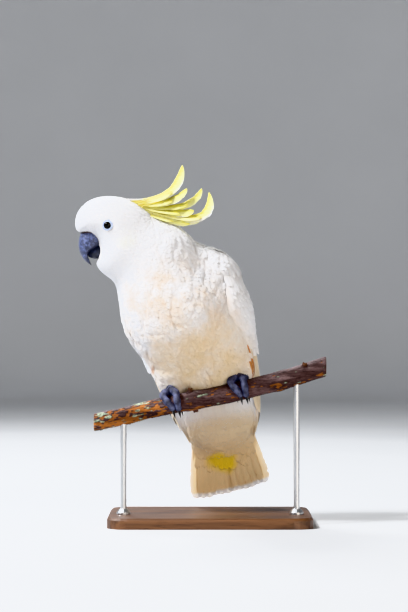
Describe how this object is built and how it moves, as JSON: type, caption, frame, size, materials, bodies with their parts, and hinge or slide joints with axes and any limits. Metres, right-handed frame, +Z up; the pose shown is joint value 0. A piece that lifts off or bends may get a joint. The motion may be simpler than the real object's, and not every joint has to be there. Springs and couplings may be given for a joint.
{
  "type": "perched parrot model",
  "caption": "Life-size model of a white cockatoo with a yellow crest, gripping a cut branch on a plain display stand.",
  "frame": {"origin": "centre of the underside of the stand's base", "axes": "+Z up, along the height of the stand and the bird; -Y is the way the breast faces; +X is towards the bird's own left; the head is turned towards -X"},
  "size_m": [0.3227, 0.1976, 0.465],
  "materials": {
    "plumage": "white contour feathers, matt with a soft sheen",
    "flight_feathers": "stiff white vanes with a pale lemon wash on their inner webs",
    "crest": "sulphur-yellow crest feathers with paler tips",
    "bill": "blue-grey horn with a fine powdery bloom",
    "eye": "glossy dark eye",
    "foot_skin": "blue-grey granular scales",
    "claw": "dark horn, worn satin",
    "bark": "flaking grey-brown bark over orange-brown wood, with lichen",
    "base_board": "dark stained board, satin lacquer",
    "rod_steel": "brushed steel rod with a turned collar"
  },
  "bodies": {
    "root": {"trunk": "plumage", "neck": "plumage", "head": "plumage", "thigh_left": "plumage", "thigh_right": "plumage", "wing_left": "plumage", "wing_right": "plumage", "flight_feathers_left": "flight_feathers", "flight_feathers_right": "flight_feathers", "tail": "flight_feathers", "crest": "crest", "bill_upper": "bill", "bill_lower": "bill", "eye_left": "eye", "eye_right": "eye", "foot_left": "foot_skin", "foot_right": "foot_skin", "claw_left_1": "claw", "claw_left_2": "claw", "claw_left_3": "claw", "claw_left_4": "claw", "claw_right_1": "claw", "claw_right_2": "claw", "claw_right_3": "claw", "claw_right_4": "claw", "perch": "bark", "stand_base": "base_board", "stand_rod_left": "rod_steel", "stand_rod_right": "rod_steel"}
  },
  "joints": []
}
